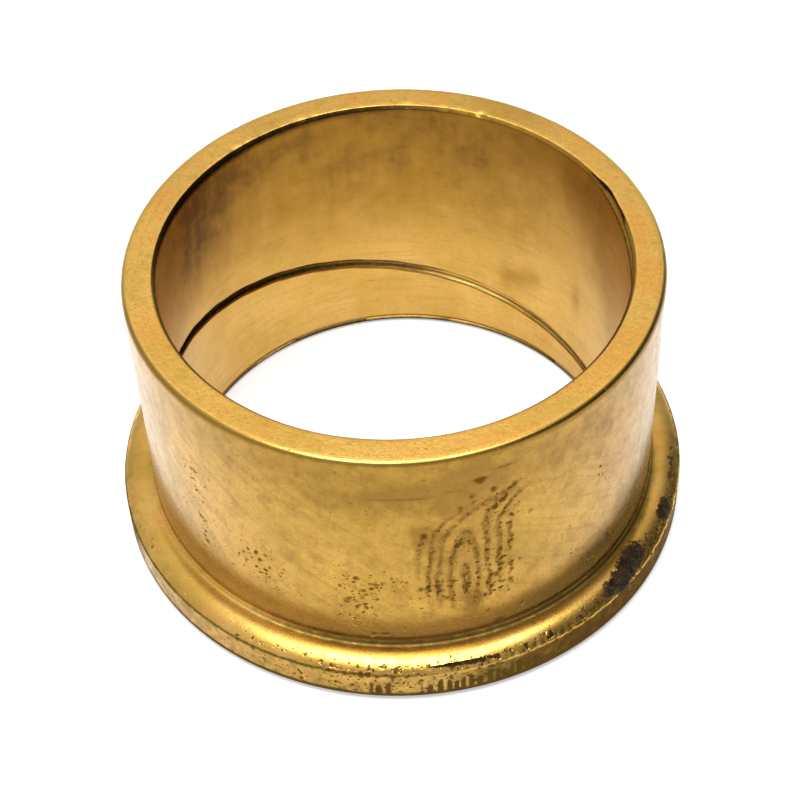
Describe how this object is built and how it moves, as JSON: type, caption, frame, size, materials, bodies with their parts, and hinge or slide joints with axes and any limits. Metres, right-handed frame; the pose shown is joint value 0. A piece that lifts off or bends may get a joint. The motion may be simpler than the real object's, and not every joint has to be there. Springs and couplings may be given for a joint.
{
  "type": "flanged bronze sleeve bushing",
  "caption": "Plain bearing turned from solid bronze: a short sleeve with a narrow flange at one end, a smooth bore and a helical oil groove in the bore.",
  "frame": {"origin": "centre of the flange's bottom face, on the bore's axis", "axes": "+Z along the bore's axis from the flange to the open end, +Y towards the back"},
  "size_m": [0.036, 0.036, 0.0192],
  "materials": {
    "bronze": "turned bearing bronze, worn smooth, with tarnish, pits, a handling mark and baked dirt on the flange"
  },
  "bodies": {
    "root": {"flanged_bushing": "bronze"}
  },
  "joints": []
}
